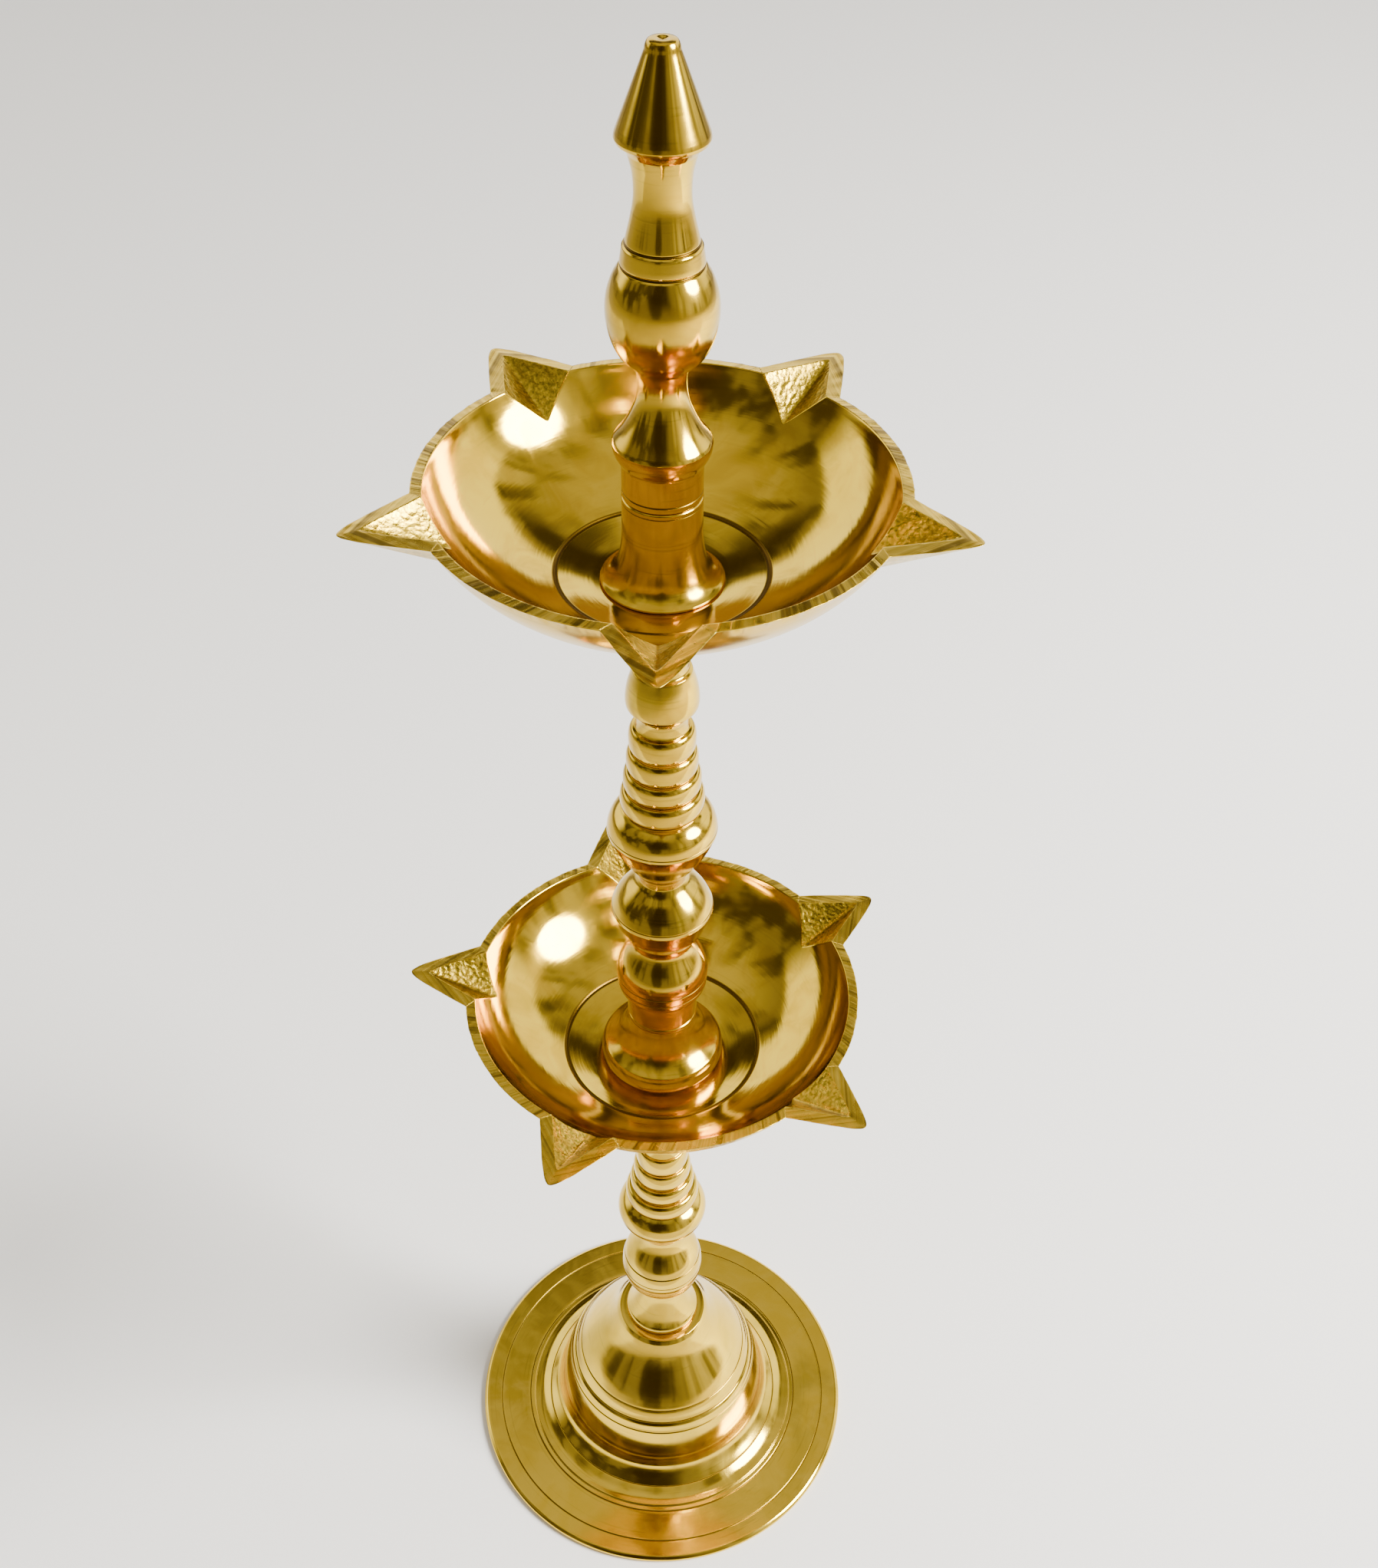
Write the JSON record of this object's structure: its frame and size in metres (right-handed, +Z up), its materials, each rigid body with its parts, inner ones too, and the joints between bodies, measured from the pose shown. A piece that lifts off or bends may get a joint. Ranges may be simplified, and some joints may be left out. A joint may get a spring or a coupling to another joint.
{
  "type": "standing oil lamp",
  "caption": "Turned brass standing oil lamp that screws together: bell foot, ringed stem, round bowls with V spouts for wicks, pointed finial.",
  "frame": {"origin": "on the lamp's axis, at the level its foot stands on", "axes": "+Z up the axis to the finial, -Y towards the side the lamp is seen from"},
  "size_m": [0.1089, 0.1108, 0.3764],
  "materials": {
    "foot": "turned and polished",
    "foot_washer": "zinc plated",
    "foot_nut": "zinc plated",
    "foot_stud": "rolled thread",
    "lower_stem": "turned and polished",
    "lower_gasket": "matt fibre",
    "lower_stud": "cut thread",
    "lower_bowl": "turned and polished inside, filed rim, cast spouts",
    "lower_collar": "turned and polished",
    "upper_stem": "turned and polished",
    "upper_gasket": "matt fibre",
    "upper_stud": "cut thread",
    "upper_bowl": "turned and polished inside, filed rim, cast spouts",
    "upper_collar": "turned and polished",
    "finial": "turned and polished"
  },
  "bodies": {
    "foot": {"foot": "foot"},
    "lower_stem": {"lower_stem": "lower_stem", "foot_stud": "foot_stud", "lower_stud": "lower_stud", "lower_gasket": "lower_gasket"},
    "foot_washer": {"foot_washer": "foot_washer"},
    "foot_nut": {"foot_nut": "foot_nut"},
    "lower_bowl": {"lower_bowl": "lower_bowl"},
    "lower_collar": {"lower_collar": "lower_collar"},
    "upper_stem": {"upper_stem": "upper_stem", "upper_stud": "upper_stud", "upper_gasket": "upper_gasket"},
    "upper_bowl": {"upper_bowl": "upper_bowl"},
    "upper_collar": {"upper_collar": "upper_collar"},
    "finial": {"finial": "finial"}
  },
  "joints": [
    {"name": "lower_stem_turn", "type": "hinge", "parent": "foot", "child": "lower_stem", "pos_m": [0, 0, 0.0445], "axis": [0, 0, 1], "continuous": true},
    {"name": "foot_washer_drop", "type": "slide", "parent": "lower_stem", "child": "foot_washer", "axis": [0, 0, -1], "range_m": [0, 0.012]},
    {"name": "foot_nut_turn", "type": "hinge", "parent": "foot_washer", "child": "foot_nut", "pos_m": [0, 0, 0.031], "axis": [0, 0, -1], "range_deg": [0, 4320.5]},
    {"name": "lower_bowl_turn", "type": "hinge", "parent": "lower_stem", "child": "lower_bowl", "pos_m": [0, 0, 0.1505], "axis": [0, 0, 1], "continuous": true},
    {"name": "upper_stem_rise", "type": "slide", "parent": "lower_stem", "child": "lower_collar", "axis": [0, 0, 1], "range_m": [0, 0.012]},
    {"name": "upper_stem_turn", "type": "hinge", "parent": "lower_collar", "child": "upper_stem", "pos_m": [0, 0, 0.1659], "axis": [0, 0, 1], "range_deg": [0, 4320.5]},
    {"name": "upper_bowl_turn", "type": "hinge", "parent": "upper_stem", "child": "upper_bowl", "pos_m": [0, 0, 0.2817], "axis": [0, 0, 1], "continuous": true},
    {"name": "finial_rise", "type": "slide", "parent": "upper_stem", "child": "upper_collar", "axis": [0, 0, 1], "range_m": [0, 0.012]},
    {"name": "finial_turn", "type": "hinge", "parent": "upper_collar", "child": "finial", "pos_m": [0, 0, 0.2998], "axis": [0, 0, 1], "range_deg": [0, 4320.5]}
  ],
  "couplings": [
    {"joint": "foot_nut_turn", "follows": "foot_washer_drop", "rad_per_m": 6283.2},
    {"joint": "upper_stem_turn", "follows": "upper_stem_rise", "rad_per_m": 6283.2},
    {"joint": "finial_turn", "follows": "finial_rise", "rad_per_m": 6283.2}
  ]
}
